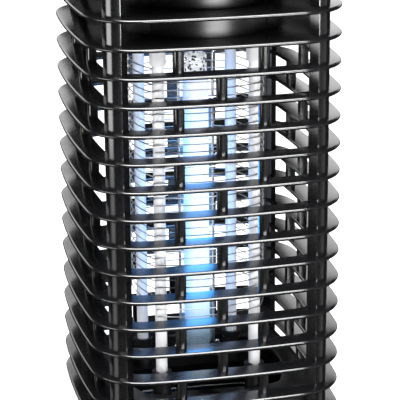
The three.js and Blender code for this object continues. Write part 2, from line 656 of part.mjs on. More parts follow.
const finish = (color, roughness, metalness = 0, more = {}) =>
  new THREE.MeshStandardMaterial({ color, roughness, metalness, ...more });
const glossBlack = finish(0x0b0b0c, 0.18);
const satinBlack = finish(0x191a1c, 0.4);
const whitePlastic = finish(0xf1f1ee, 0.4);
const steel = finish(0xc9ccd0, 0.25, 1);
const glowingGlass = finish(0xbfe4ff, 0.1, 0, { emissive: 0x4d9dff, emissiveIntensity: 0.8 });

const zapper = new THREE.Group();
const place = (name, geometry, material) => {
  const mesh = new THREE.Mesh(geometry, material);
  mesh.name = name;
  zapper.add(mesh);
};
const placeEach = (name, spots, make, material) =>
  spots.forEach((spot, i) => place(`${name}_${i + 1}`, make(spot), material));

const rightHalf = cageHalf();
place('cage_half_right', rightHalf, glossBlack);
place('cage_half_left', rightHalf.clone().rotateZ(Math.PI), glossBlack);
place('top_cover', topCover(), glossBlack);
place('hanging_loop', hangingLoop(), steel);
place('cord_gland', cordGland(), satinBlack);

place('chamber_case', chamberCase(), glossBlack);
place('circuit_board', circuitBoard(), finish(0x1f5a35, 0.5));
place('transformer', transformer(), finish(0x3a3430, 0.5));
placeEach('film_capacitor', FILM_CAPACITORS_AT, filmCapacitor, finish(0xb02a24, 0.4));
place('filter_capacitor', filterCapacitor(), finish(0x20263a, 0.35));
place('terminal_block', terminalBlock(), finish(0x2f6f4a, 0.45));
placeEach('board_screw', boardSpots, (spot) => screw(onBoardZ, 1, spot), steel);

place('lamp_socket', lampSocket(), satinBlack);
place('lamp_cap', lampCap(), finish(0xb9bbb8, 0.3, 1));
place('lamp_contact', lampContact(), finish(0xb08d4a, 0.35, 1));
place('lamp_glass', lampGlass(), glowingGlass);
place('lamp_stem', lampStem(), finish(0xcfd6da, 0.15));
place('lamp_guard_left', lampGuard(-1), steel);
place('lamp_guard_right', lampGuard(1), steel);

placeEach('grid_rod', rodSpots, rod, whitePlastic);
placeEach('rod_sleeve', rodSpots, sleeve, whitePlastic);
placeEach('rod_clip', rodSpots, rodClip, satinBlack);
place('grid_wire_a', winding(wireTopZ), steel);
place('grid_wire_b', winding(wireTopZ - WIRE_SPACING), steel);

place('lower_deck', lowerDeck(), satinBlack);
place('catch_tray', catchTray(), glossBlack);
placeEach('rubber_foot', corners, foot, finish(0x141414, 0.8));
placeEach('cover_screw', screwSpots, (spot) => screw(coverSeatZ + GAP, 1, spot), steel);
placeEach('deck_screw', screwSpots, (spot) => screw(deckSeatZ - GAP, -1, spot), steel);

export default zapper;
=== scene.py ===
import math

import bmesh
import bpy
from mathutils import Matrix, Vector


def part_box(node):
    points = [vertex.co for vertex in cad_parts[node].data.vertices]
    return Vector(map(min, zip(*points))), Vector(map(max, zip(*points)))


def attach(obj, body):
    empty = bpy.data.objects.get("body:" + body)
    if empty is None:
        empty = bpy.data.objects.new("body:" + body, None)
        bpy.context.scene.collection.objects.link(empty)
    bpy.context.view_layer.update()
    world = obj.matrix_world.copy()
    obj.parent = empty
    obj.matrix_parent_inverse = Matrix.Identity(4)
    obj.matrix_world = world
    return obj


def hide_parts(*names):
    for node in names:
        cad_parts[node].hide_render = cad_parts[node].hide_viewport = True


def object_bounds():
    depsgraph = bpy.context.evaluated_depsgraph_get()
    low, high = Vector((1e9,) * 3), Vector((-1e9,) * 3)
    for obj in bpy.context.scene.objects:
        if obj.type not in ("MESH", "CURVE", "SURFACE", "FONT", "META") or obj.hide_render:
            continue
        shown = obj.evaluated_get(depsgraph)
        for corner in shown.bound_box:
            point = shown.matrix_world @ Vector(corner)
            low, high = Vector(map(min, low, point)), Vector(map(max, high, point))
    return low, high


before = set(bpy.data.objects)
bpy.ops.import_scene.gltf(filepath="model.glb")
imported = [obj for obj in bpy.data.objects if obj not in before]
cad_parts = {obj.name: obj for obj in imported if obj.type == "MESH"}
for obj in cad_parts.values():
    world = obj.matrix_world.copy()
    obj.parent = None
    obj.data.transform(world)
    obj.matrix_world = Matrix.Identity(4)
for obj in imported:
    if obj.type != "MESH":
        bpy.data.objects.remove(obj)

cad_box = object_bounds()
MM = 0.001


# ---- camera and studio ----
# A long lens from the front left and a little above, a pale floor, and soft light from large panels.
# The air round the object is white to the eye, and nearly black where gloss mirrors it.

low, high = (Vector(corner) for corner in cad_box)
view_turn = math.radians(-13.04)
view_drop = math.radians(16.79)
view_tilt = 0.0075
view_place = (-0.2070, -0.9024, 0.4148)
camera_data = bpy.data.cameras.new("camera")
camera_data.sensor_width = 36
camera_data.lens = 167.06
camera_data.clip_end = 30
camera = bpy.data.objects.new("camera", camera_data)
bpy.context.scene.collection.objects.link(camera)
camera.matrix_world = (
    Matrix.Translation(view_place)
    @ Matrix.Rotation(view_turn, 4, "Z")
    @ Matrix.Rotation(math.pi / 2 - view_drop, 4, "X")
    @ Matrix.Rotation(-view_tilt, 4, "Z")
)
bpy.context.scene.camera = camera
bpy.context.scene.view_settings.view_transform = "Standard"


class Link:
    """A shader socket that can stand in a sum, such as 1 - dust * 0.4, and can start any other node."""

    def __init__(self, tree, socket):
        self.tree = tree
        self.socket = socket

    def node(self, kind, settings=None, sockets=None, out=0):
        made = self.tree.nodes.new("ShaderNode" + kind)
        for name, value in (settings or {}).items():
            if name == "stops":
                stops = made.color_ramp.elements
                while len(stops) < len(value):
                    stops.new(1.0)
                for stop, (place, colour) in zip(stops, value):
                    stop.position = place
                    stop.color = (*colour, 1.0)
            else:
                setattr(made, name, value)
        for name, value in (sockets or {}).items():
            if isinstance(value, Link):
                self.tree.links.new(value.socket, made.inputs[name])
            else:
                made.inputs[name].default_value = value
        return Link(self.tree, made.outputs[out])

    def maths(self, operation, first, second):
        return self.node("Math", {"operation": operation}, {0: first, 1: second})

    def __add__(self, other):
        return self.maths("ADD", self, other)

    def __radd__(self, other):
        return self.maths("ADD", other, self)

    def __sub__(self, other):
        return self.maths("SUBTRACT", self, other)

    def __rsub__(self, other):
        return self.maths("SUBTRACT", other, self)

    def __mul__(self, other):
        return self.maths("MULTIPLY", self, other)

    def __rmul__(self, other):
        return self.maths("MULTIPLY", other, self)

    def feed(self, socket):
        self.tree.links.new(self.socket, socket)


def new_material(name, colour, roughness, metallic=0.0, specular=0.5):
    """A material with its shader and a Link to the place on the piece, in metres."""
    material = bpy.data.materials.new(name)
    material.use_nodes = True
    tree = material.node_tree
    shader = tree.nodes["Principled BSDF"]
    shader.inputs["Base Color"].default_value = (*colour, 1.0)
    shader.inputs["Roughness"].default_value = roughness
    shader.inputs["Metallic"].default_value = metallic
    shader.inputs["Specular IOR Level"].default_value = specular
    place = Link(tree, tree.nodes.new("ShaderNodeTexCoord").outputs["Object"])
    return material, shader.inputs, place


def noise(place, scale, detail=3.0):
    """A cloudy value from 0 to 1 that follows the place on the piece."""
    return place.node("TexNoise", None, {"Vector": place, "Scale": scale, "Detail": detail})


def bump(paint, height, strength, distance):
    """Raises and sinks a surface a little with a cloudy value."""
    height.node("Bump", None, {"Strength": strength, "Distance": distance, "Height": height}).feed(
        paint["Normal"])


def mesh_piece(name, body, slot, material, vertices, faces, sharp=35):
    """A new piece from points in metres, shaded smooth up to an angle, that moves with a body."""
    mesh = bpy.data.meshes.new(name)
    mesh.from_pydata([tuple(v) for v in vertices], [], faces)
    solid = bmesh.new()
    solid.from_mesh(mesh)
    bmesh.ops.remove_doubles(solid, verts=solid.verts, dist=1e-6)
    loose = [e for e in solid.edges if not e.link_faces]
    bmesh.ops.delete(solid, geom=loose, context="EDGES")
    bmesh.ops.recalc_face_normals(solid, faces=solid.faces)
    solid.to_mesh(mesh)
    solid.free()
    mesh.shade_smooth()
    mesh.set_sharp_from_angle(angle=math.radians(sharp))
    mesh.materials.append(material)
    piece = bpy.data.objects.new(name, mesh)
    bpy.context.scene.collection.objects.link(piece)
    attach(piece, body)
    return piece


floor_paint, paint, place = new_material("studio_floor", (0.93, 0.93, 0.93), 0.6)
speckle = noise(place, 6.0)
(speckle * 0.08 + 0.56).feed(paint["Roughness"])
floor_mesh = bpy.data.meshes.new("floor")
reach = 6.0
floor_corners = [(-reach, -reach, 0), (reach, -reach, 0), (reach, reach, 0), (-reach, reach, 0)]
floor_mesh.from_pydata(floor_corners, [], [(0, 1, 2, 3)])
floor_mesh.materials.append(floor_paint)
floor = bpy.data.objects.new("floor", floor_mesh)
bpy.context.scene.collection.objects.link(floor)
floor.visible_glossy = False

# Gloss mirrors neither the floor nor a bright room. It mirrors a dark one with three pale spots low
# down, each given by the direction it lies in and its brightness.
room_light = (0.35, 0.36, 0.39, 1)
backdrop_white = (1.05, 1.05, 1.05, 1)
dark_gleam = 0.03
spot_edge = 0.93
spot_core = 0.985
spots = (((-0.93, -0.21, -0.29), 1.1), ((0.84, -0.47, -0.27), 0.5), ((0.2, -0.93, -0.3), 0.2))
world = bpy.data.worlds.new("studio")
bpy.context.scene.world = world
world.use_nodes = True
ray = world.node_tree.nodes.new("ShaderNodeLightPath").outputs
seen = Link(world.node_tree, ray["Is Camera Ray"])
mirrored = Link(world.node_tree, ray["Is Glossy Ray"])
direction = Link(world.node_tree,
                 world.node_tree.nodes.new("ShaderNodeTexCoord").outputs["Generated"])
gleam = dark_gleam
for aim, level in spots:
    aligned = direction.node("VectorMath", {"operation": "DOT_PRODUCT"},
                             {0: direction, 1: aim}, out=1)
    gleam = gleam + aligned.node("MapRange", {"interpolation_type": "SMOOTHSTEP"},
                                 {0: aligned, 1: spot_edge, 2: spot_core, 4: level})
colours = {"data_type": "RGBA"}
around = seen.node("Mix", colours, {"Factor": mirrored, 6: room_light, 7: gleam}, out=2)
air = seen.node("Mix", colours, {"Factor": seen, 6: around, 7: backdrop_white}, out=2)
air.feed(world.node_tree.nodes["Background"].inputs["Color"])


def soft_panel(name, place, aim, width, height, power, colour=(1, 1, 1)):
    data = bpy.data.lights.new(name, "AREA")
    data.shape = "RECTANGLE"
    data.size = width
    data.size_y = height
    data.energy = power
    data.color = colour
    panel = bpy.data.objects.new(name, data)
    bpy.context.scene.collection.objects.link(panel)
    panel.location = place
    panel.rotation_euler = (Vector(aim) - Vector(place)).to_track_quat("-Z", "Y").to_euler()
    panel.visible_camera = False
    return panel


middle = Vector((0, 0, (low.z + high.z) / 2))
soft_panel("overhead", (-0.1, -0.9, 1.6), middle, 1.8, 1.6, 150)
soft_panel("behind_left", (-0.94, 2.2, 0.75), middle, 2.6, 0.8, 11)
soft_panel("behind_right", (1.56, 2.0, 0.75), middle, 1.8, 0.8, 8)
soft_panel("floor_left", (-0.5, -0.12, 0.13), middle, 0.3, 0.14, 0.7)
soft_panel("floor_front", (0.1, -0.45, 0.2), (0, 0, 0.24), 0.3, 0.08, 1.8)


# ---- cage halves ----
# Two identical mouldings in gloss black plastic: eighteen thin fins with rounded rims, corner posts
# and short round-fronted bars that alternate one and two to an open gap. The mouldings meet beside
# two of the posts.

cage_low, cage_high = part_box("cage_half_right")
fin_count = 18
fin_thickness = 2 * MM
fin_pitch = (cage_high.z - cage_low.z - fin_thickness) / (fin_count - 1)
first_fin_z = cage_low.z + fin_thickness / 2
closed_from = 14
fin_width = 11.5 * MM
half_width = high.x
bow_radius = 476 * MM
corner_radius = 28 * MM
bow_centre = bow_radius - half_width
diagonal = bow_radius - corner_radius
corner_centre = (math.sqrt(2 * diagonal ** 2 - bow_centre ** 2) - bow_centre) / 2
corner_reach = corner_centre * math.sqrt(2) + corner_radius


def outline_point(angle, inset):
    """The cage's outline at a polar angle: a bowed side, or the round corner beside it."""
    turn = round(angle / (math.pi / 2)) * math.pi / 2
    local = angle - turn
    side = -bow_centre * math.cos(local) + math.sqrt(
        (bow_radius - inset) ** 2 - (bow_centre * math.sin(local)) ** 2)
    bow_angle = math.atan2(corner_centre, corner_centre + bow_centre)
    if side * abs(math.sin(local)) > (bow_radius - inset) * math.sin(bow_angle):
        off = math.pi / 4 - abs(local)
        side = corner_centre * math.sqrt(2) * math.cos(off) + math.sqrt(
            (corner_radius - inset) ** 2 - 2 * (corner_centre * math.sin(off)) ** 2)
    return Vector((side * math.cos(angle), side * math.sin(angle), 0))


chamber_front = 46.9 * MM
chamber_arc = 31.5 * MM
chamber_arc_half = 23.4 * MM


def chamber_point(angle, inset):
    """The chamber's outline: four round-fronted sides joined by flat corners."""
    turn = round(angle / (math.pi / 2)) * math.pi / 2
    local = abs(angle - turn)
    centre = chamber_front - chamber_arc
    arc_angle = math.asin(chamber_arc_half / chamber_arc)
    radius = chamber_arc - inset
    distance = centre * math.cos(local) + math.sqrt(radius ** 2 - (centre * math.sin(local)) ** 2)
    if distance * math.sin(local) > radius * math.sin(arc_angle):
        flat = centre + radius * (math.cos(arc_angle) + math.sin(arc_angle))
        distance = flat / (math.cos(local) + math.sin(local))
    return Vector((distance * math.cos(angle), distance * math.sin(angle), 0))


def sweep(rows, closed, cap):
    """Faces between rows of points of equal length. Rows may close on themselves and have end caps."""
    vertices = [point for row in rows for point in row]
    width = len(rows[0])
    faces = []
    for i in range(len(rows) - 1 + closed):
        here = i * width
        ahead = ((i + 1) % len(rows)) * width
        for j in range(width):
            after = (j + 1) % width
            faces.append((here + j, here + after, ahead + after, ahead + j))
    if cap:
        faces.append(tuple(range(width)))
        faces.append(tuple(range(len(vertices) - width, len(vertices))))
    return vertices, faces


def gather(parts):
    """One list of vertices and faces out of several."""
    vertices, faces = [], []
    for more_vertices, more_faces in parts:
        start = len(vertices)
        vertices += more_vertices
        faces += [tuple(start + i for i in face) for face in more_faces]
    return vertices, faces


parting = 2.15 * MM
parting_gap = 0.3 * MM
rim_depth = 0.95 * MM
rim_steps = 9
path_steps = 150
fin_edge = 0.4 * MM
case_space = 0.4 * MM


def half_path(inset, outline):
    """Half a turn of an outline, from beside the front left post to beside the back right one."""
    reach_here = corner_reach - inset
    start = math.radians(225) - math.asin(parting / reach_here)
    end = math.radians(405) - math.asin((parting + parting_gap) / reach_here)
    return [outline(start + (end - start) * i / path_steps, inset) for i in range(path_steps + 1)]


def fin(index):
    """One fin, with a rounded rim. A closed fin's inner edge follows the chamber's case."""
    z = first_fin_z + index * fin_pitch
    half = fin_thickness / 2
    profile = []
    for i in range(rim_steps):
        angle = -math.pi / 2 + math.pi * i / (rim_steps - 1)
        profile.append((rim_depth * (1 - math.cos(angle)), half * math.sin(angle)))
    lines = [(half_path(inset, outline_point), z + rise) for inset, rise in profile]
    if index < closed_from:
        inner = [(fin_width - fin_edge, half), (fin_width, half * 0.6),
                 (fin_width, -half * 0.6), (fin_width - fin_edge, -half)]
        lines += [(half_path(inset, outline_point), z + rise) for inset, rise in inner]
    else:
        lines += [(half_path(-case_space, chamber_point), z + rise) for rise in (half, -half)]
    rows = [[line[i] + Vector((0, 0, height)) for line, height in lines]
            for i in range(path_steps + 1)]
    return sweep(rows, closed=False, cap=True)


def prism(section, from_z, to_z):
    """A flat outline drawn up from one height to another."""
    rows = [[Vector((x, y, z)) for x, y in section] for z in (from_z, to_z)]
    return sweep(rows, closed=False, cap=True)


post_face = corner_reach - 3.9 * MM
post_back = post_face - 7.2 * MM
post_half = 5.4 * MM
post_lip = 2.15 * MM
shoulder = post_face - 1.8 * MM
edge = 0.35 * MM


def post(corner_angle, from_across, to_across):
    """A post: a raised face between two flanks. A part of it may belong to the other half."""
    profile = [(post_back, -post_half), (shoulder - edge, -post_half), (shoulder, -post_half + edge),
               (post_face - edge, -post_lip - edge), (post_face, -post_lip + edge),
               (post_face, post_lip - edge), (post_face - edge, post_lip + edge),
               (shoulder, post_half - edge), (shoulder - edge, post_half), (post_back, post_half)]
    kept = []
    for (x0, y0), (x1, y1) in zip(profile, profile[1:] + profile[:1]):
        if from_across <= y0 <= to_across:
            kept.append((x0, y0))
        for limit in (from_across, to_across):
            if (y0 - limit) * (y1 - limit) < 0:
                share = (limit - y0) / (y1 - y0)
                kept.append((x0 + (x1 - x0) * share, limit))
    centre = (sum(x for x, _ in kept) / len(kept), sum(y for _, y in kept) / len(kept))
    kept.sort(key=lambda p: math.atan2(p[1] - centre[1], p[0] - centre[0]))
    turn = Matrix.Rotation(corner_angle, 2)
    return prism([turn @ Vector(p) for p in kept], cage_low.z, cage_high.z)


bar_half = 2.5 * MM
bar_inset = 6.5 * MM
bar_round = 1.6 * MM
bar_steps = 8
bar_spacing = 21.2 * MM
bar_height = fin_pitch - fin_thickness
sink = 0.3 * MM
web_reach = 42.9 * MM


def bar(side_angle, along, row):
    """An upright bar between two fins, its front a half ellipse."""
    local = math.sqrt(bow_radius ** 2 - along ** 2) - bow_centre
    front = local - bar_inset
    back = local - fin_width + sink
    section = [(back, along - bar_half), (back, along + bar_half)]
    for i in range(bar_steps + 1):
        angle = math.pi / 2 - math.pi * i / bar_steps
        section.append((front - bar_round * (1 - math.cos(angle)),
                        along + bar_half * math.sin(angle)))
    turn = Matrix.Rotation(side_angle, 2)
    bottom = first_fin_z + row * fin_pitch + fin_thickness / 2 - sink
    return prism([turn @ Vector(p) for p in section], bottom, bottom + bar_height + 2 * sink)


def web(corner_angle, from_across, to_across):
    """A thin wall that ties a post to the closed fins."""
    section = [(web_reach, from_across), (post_back + sink, from_across),
               (post_back + sink, to_across), (web_reach, to_across)]
    turn = Matrix.Rotation(corner_angle, 2)
    return prism([turn @ Vector(p) for p in section],
                 first_fin_z + closed_from * fin_pitch, first_fin_z + (fin_count - 1) * fin_pitch)


front_left, front_right, back_right = (math.radians(a) for a in (225, 315, 45))
web_half = 1.5 * MM
parts = [fin(i) for i in range(fin_count)]
parts.append(post(front_left, -parting, post_half))
parts.append(post(front_right, -post_half, post_half))
parts.append(post(back_right, -post_half, -parting - parting_gap))
parts.append(web(front_left, -web_half, web_half))
parts.append(web(front_right, -web_half, web_half))
for side_angle in (-math.pi / 2, 0):
    for row in range(closed_from):
        for along in ((-bar_spacing, bar_spacing) if row % 2 else (0,)):
            parts.append(bar(side_angle, along, row))
cage_vertices, cage_faces = gather(parts)

gloss_black, paint, place = new_material("gloss_black", (0.003, 0.003, 0.0033), 0.17, specular=0.9)
cloud = noise(place, 38.0)
grain = noise(place, 900.0, 2.0)
(cloud * 0.12 + 0.12).feed(paint["Roughness"])
bump(paint, grain, 0.05, 0.0002)

half_turn = Matrix.Rotation(math.pi, 4, "Z")
right_half = mesh_piece("cage_right", "housing", "gloss_black_plastic", gloss_black,
                        cage_vertices, cage_faces)
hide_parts("cage_half_right")
left_half = mesh_piece("cage_left", "housing", "gloss_black_plastic", gloss_black,
                       [half_turn @ v for v in cage_vertices], cage_faces)
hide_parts("cage_half_left")


# ---- electronics chamber ----
# The case hangs through the closed fins by its lip. Its rounded sides show between those fins.

case_low, case_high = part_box("chamber_case")
case_wall = 2 * MM
case_lip = 3 * MM
case_floor = case_low.z + 2.5 * MM
lip_under = case_high.z - case_wall
socket_hole = 14.4 * MM
soft_edge = 0.4 * MM


def circle_point(angle, radius):
    return Vector((radius * math.cos(angle), radius * math.sin(angle), 0))


def stack(levels, closed=False, steps=240):
    """A solid from outlines laid over each other. If closed, its last level joins the first."""
    rows = [[outline(2 * math.pi * i / steps, inset) + Vector((0, 0, z)) for i in range(steps)]
            for outline, inset, z in levels]
    return sweep(rows, closed=closed, cap=not closed)


case_part = stack([
    (chamber_point, soft_edge, case_low.z), (chamber_point, 0, case_low.z + soft_edge),
    (chamber_point, 0, lip_under), (chamber_point, -case_lip, lip_under),
    (chamber_point, -case_lip, case_high.z), (chamber_point, case_wall, case_high.z),
    (chamber_point, case_wall, case_floor), (circle_point, socket_hole, case_floor),
    (circle_point, socket_hole, case_low.z)], closed=True)
case_black, paint, place = new_material("case_black", (0.003, 0.003, 0.0033), 0.36, specular=0.9)
cloud = noise(place, 45.0)
(cloud * 0.12 + 0.3).feed(paint["Roughness"])
case = mesh_piece("chamber_case_shell", "housing", "gloss_black_plastic", case_black, *case_part)
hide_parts("chamber_case")


# ---- top cover ----
# A stepped lid with rounded edges, two ears for the hanging loop and sunk holes for four screws.

cover_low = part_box("top_cover")[0]
gland_low, gland_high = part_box("cord_gland")
cover_wall = 2.4 * MM
cover_skirt = 5 * MM
cover_step_inset = 9 * MM
cover_height = 12 * MM
cover_top = cover_low.z + cover_height
skirt_top = cover_low.z + cover_skirt
skirt_foot_round = 0.5 * MM
skirt_round = 1.2 * MM
step_fillet = 0.8 * MM
top_round = 2 * MM
pivot_z = 287.95 * MM
ear_x = 21.85 * MM
ear_half = 2 * MM
ear_radius = 4.5 * MM
pin_hole = 2.05 * MM
ear_root = 0.2 * MM
gland_hole = 6.3 * MM
head_hole = 3.3 * MM
head_seat = 2.5 * MM
screw_hole = 1.8 * MM
screw_hole_top = 3 * MM
screw_inset = 3.6 * MM
screw_shift = 1.2 * MM


def arc_points(centre_inset, centre_z, radius, from_angle, to_angle, steps=4):
    """Points of a rounded edge in a profile, as pairs of inset and height. Angles are in degrees."""
    points = []
    for i in range(steps + 1):
        angle = math.radians(from_angle + (to_angle - from_angle) * i / steps)
        points.append((centre_inset - radius * math.cos(angle),
                       centre_z + radius * math.sin(angle)))
    return points


def turned(profile, x=0.0, y=0.0, steps=40):
    """A closed profile of radius and height, turned about an upright axis."""
    rows = []
    for i in range(steps):
        angle = 2 * math.pi * i / steps
        rows.append([Vector((x + r * math.cos(angle), y + r * math.sin(angle), z))
                     for r, z in profile])
    return sweep(rows, closed=True, cap=False)


def moved(part, matrix):
    vertices, faces = part
    return [matrix @ v for v in vertices], faces


def box_part(low_corner, high_corner):
    section = [(low_corner[0], low_corner[1]), (high_corner[0], low_corner[1]),
               (high_corner[0], high_corner[1]), (low_corner[0], high_corner[1])]
    return prism(section, low_corner[2], high_corner[2])


def carve(piece, cutters):
    """Cuts closed parts out of a piece."""
    cutter = mesh_piece("cutter", "housing", "gloss_black_plastic", gloss_black, *gather(cutters))
    cut = piece.modifiers.new("cut", "BOOLEAN")
    cut.object = cutter
    cut.operation = "DIFFERENCE"
    cut.solver = "EXACT"
    shaped = bpy.data.meshes.new_from_object(
        piece.evaluated_get(bpy.context.evaluated_depsgraph_get()))
    piece.modifiers.clear()
    piece.data = shaped
    shaped.shade_smooth()
    shaped.set_sharp_from_angle(angle=math.radians(35))
    bpy.data.objects.remove(cutter)


lid_profile = [(cover_step_inset + cover_wall, cover_top - cover_wall),
               (cover_step_inset + cover_wall, cover_low.z)]
lid_profile += arc_points(skirt_foot_round, cover_low.z + skirt_foot_round,
                          skirt_foot_round, -90, 0)
lid_profile += arc_points(skirt_round, skirt_top - skirt_round, skirt_round, 0, 90)
lid_profile += arc_points(cover_step_inset - step_fillet, skirt_top + step_fillet,
                          step_fillet, -90, -180)
lid_profile += arc_points(cover_step_inset + top_round, cover_top - top_round, top_round, 0, 90, 6)
lid = mesh_piece("cover_lid", "housing", "gloss_black_plastic", gloss_black,
                 *stack([(outline_point, inset, z) for inset, z in lid_profile]))
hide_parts("top_cover")


def screw_places():
    """The four screws' places, each shifted clear of the parting between the cage halves."""
    radial = post_face - screw_inset
    places = []
    for sx, sy in ((-1, -1), (1, -1), (1, 1), (-1, 1)):
        shift = -sx * screw_shift if sx == sy else 0
        places.append(((sx * radial + shift) / math.sqrt(2), (sy * radial - shift) / math.sqrt(2)))
    return places


def rod_part(radius, from_z, to_z, x, y, steps=24):
    return turned([(0, from_z), (radius, from_z), (radius, to_z), (0, to_z)], x, y, steps)


over = 1 * MM
gland_y = (gland_low.y + gland_high.y) / 2
cover_cuts = [rod_part(gland_hole, cover_top - cover_wall - over, cover_top + over, 0, gland_y)]
for x, y in screw_places():
    cover_cuts.append(
        rod_part(screw_hole, cover_low.z - over, cover_low.z + screw_hole_top, x, y, 16))
    cover_cuts.append(rod_part(head_hole, cover_low.z + head_seat, skirt_top + over, x, y, 24))
carve(lid, cover_cuts)

ear_parts = []
for side in (-1, 1):
    ring = turned([(pin_hole, -ear_half), (ear_radius - soft_edge, -ear_half),
                   (ear_radius, -ear_half + soft_edge), (ear_radius, ear_half - soft_edge),
                   (ear_radius - soft_edge, ear_half), (pin_hole, ear_half)])
    ear_parts.append(moved(ring, Matrix.Translation((side * ear_x, 0, pivot_z))
                           @ Matrix.Rotation(math.pi / 2, 4, "Y")))
    ear_parts.append(box_part((side * ear_x - ear_half, -ear_radius, cover_top - ear_root),
                              (side * ear_x + ear_half, ear_radius, pivot_z - pin_hole)))
mesh_piece("cover_ears", "housing", "gloss_black_plastic", gloss_black, *gather(ear_parts))


# ---- hanging loop ----
# A bent steel wire whose ends turn in the cover's ears.

steel_wire, paint, place = new_material("bright_wire", (0.62, 0.63, 0.65), 0.22, metallic=1.0)
streaks = noise(place, 260.0, 2.0)
(streaks * 0.2 + 0.14).feed(paint["Roughness"])

loop_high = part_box("hanging_loop")[1]
loop_radius = 1.75 * MM
loop_half_width = loop_high.x - loop_radius
loop_reach = loop_high.y - loop_radius
loop_bend = 8 * MM
loop_corner = 2.2 * MM
end_x = ear_x - ear_half - 1 * MM


def tube(points, radius, sides=12):
    """A round wire along a line of points."""
    rows = []
    forward = (points[1] - points[0]).normalized()
    side = forward.orthogonal().normalized()
    for i, point in enumerate(points):
        ahead = points[min(i + 1, len(points) - 1)] - points[max(i - 1, 0)]
        forward = ahead.normalized()
        side = (side - forward * side.dot(forward)).normalized()
        other = forward.cross(side)
        rows.append([point + (side * math.cos(a) + other * math.sin(a)) * radius
                     for a in (2 * math.pi * k / sides for k in range(sides))])
    return sweep(rows, closed=False, cap=True)


def bend_points(centre, radius, from_angle, to_angle, steps=12):
    """Points round a bend that lies flat at the pivot's height. Angles are in degrees."""
    return [Vector((centre[0] + radius * math.cos(a), centre[1] + radius * math.sin(a), pivot_z))
            for a in (math.radians(from_angle + (to_angle - from_angle) * i / steps)
                      for i in range(steps + 1))]


half_line = [Vector((end_x, 0, pivot_z))]
half_line += bend_points((loop_half_width - loop_corner, loop_corner), loop_corner, -90, 0, 8)
half_line += bend_points((loop_half_width - loop_bend, loop_reach - loop_bend), loop_bend, 0, 90)
loop_line = half_line + [Vector((-p.x, p.y, p.z)) for p in reversed(half_line)]
wire_loop = mesh_piece("loop_wire", "loop", "bright_steel", steel_wire,
                       *tube(loop_line, loop_radius, 20))
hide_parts("hanging_loop")


# ---- cord gland ----
# A ribbed bush in the cover for the mains lead, which isn't part of the model.

satin_black, paint, place = new_material("satin_black", (0.005, 0.005, 0.0055), 0.36)
cloud = noise(place, 70.0)
(cloud * 0.16 + 0.28).feed(paint["Roughness"])
grain = noise(place, 1500.0, 2.0)
bump(paint, grain, 0.12, 0.0001)

gland_bore = 3.4 * MM
gland_radius = 6 * MM
collar = gland_high.x
collar_top = cover_top + 2 * MM
collar_under = cover_top + 0.3 * MM
rib_count = 4
rib_depth = 0.7 * MM
rib_taper = 0.35 * MM
gland_profile = [(gland_bore, gland_low.z), (gland_radius, gland_low.z),
                 (gland_radius, collar_under), (collar, collar_under),
                 (collar, collar_top - soft_edge), (collar - soft_edge, collar_top)]
for i in range(rib_count):
    z = collar_top + (gland_high.z - collar_top) * i / rib_count
    wide = gland_radius - rib_taper * i
    gland_profile += [(wide - rib_depth, z), (wide, z + 0.3 * MM), (wide, z + 0.7 * MM)]
gland_profile += [(gland_bore + 1.2 * MM, gland_high.z), (gland_bore, gland_high.z)]
gland = mesh_piece("gland_bush", "housing", "satin_black_plastic", satin_black,
                   *turned(gland_profile, 0, gland_y))
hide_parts("cord_gland")


# ---- lamp ----
# A straight tube with a glowing core, dim at its round lower end and clear over its stem at the top.
# Thin wires guard it on both sides, and its cap and socket are inside the chamber.

glass_low, glass_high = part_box("lamp_glass")
glass_radius = glass_high.x
glass_wall = 1 * MM
glow_top = 203 * MM
glow_bottom = glass_low.z + glass_wall


def round_end(radius, end_z, steps=10):
    """A ball-shaped lower end in a profile, from the axis out."""
    return [(radius * math.sin(a), end_z + radius * (1 - math.cos(a)))
            for a in (math.pi / 2 * i / steps for i in range(steps + 1))]


def along(place, from_z, to_z):
    """How far up a piece a place is, from 0 to 1."""
    height = place.node("SeparateXYZ", None, {0: place}, out=2)
    return place.node("MapRange", None, {0: height, 1: from_z, 2: to_z})


glass_paint, paint, place = new_material("tube_glass", (0.16, 0.22, 0.28), 0.08)
rise = along(place, glass_low.z, glass_high.z)
rise.node("ValToRGB", {"stops": [
    (0.0, (0.015, 0.025, 0.03)), (0.05, (0.02, 0.04, 0.06)), (0.13, (0.1, 0.25, 0.5)),
    (0.6, (0.12, 0.4, 0.9)), (0.72, (0.25, 0.27, 0.5)), (0.77, (0.0, 0.0, 0.0))]},
    {"Fac": rise}).feed(paint["Emission Color"])
paint["Emission Strength"].default_value = 1.0
rise.node("ValToRGB", {"stops": [
    (0.0, (0.75, 0.75, 0.75)), (0.05, (0.6, 0.6, 0.6)), (0.1, (0.3, 0.3, 0.3)),
    (0.7, (0.2, 0.2, 0.2)), (0.77, (0.06, 0.06, 0.06))]}, {"Fac": rise}).feed(paint["Alpha"])
outer = round_end(glass_radius, glass_low.z)
inner = round_end(glass_radius - glass_wall, glass_low.z + glass_wall)
glass = mesh_piece("tube_glass", "housing", "lamp_glass", glass_paint,
                   *turned(outer + [(glass_radius, glass_high.z),
                                    (glass_radius - glass_wall, glass_high.z)] + inner[::-1]))
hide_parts("lamp_glass")

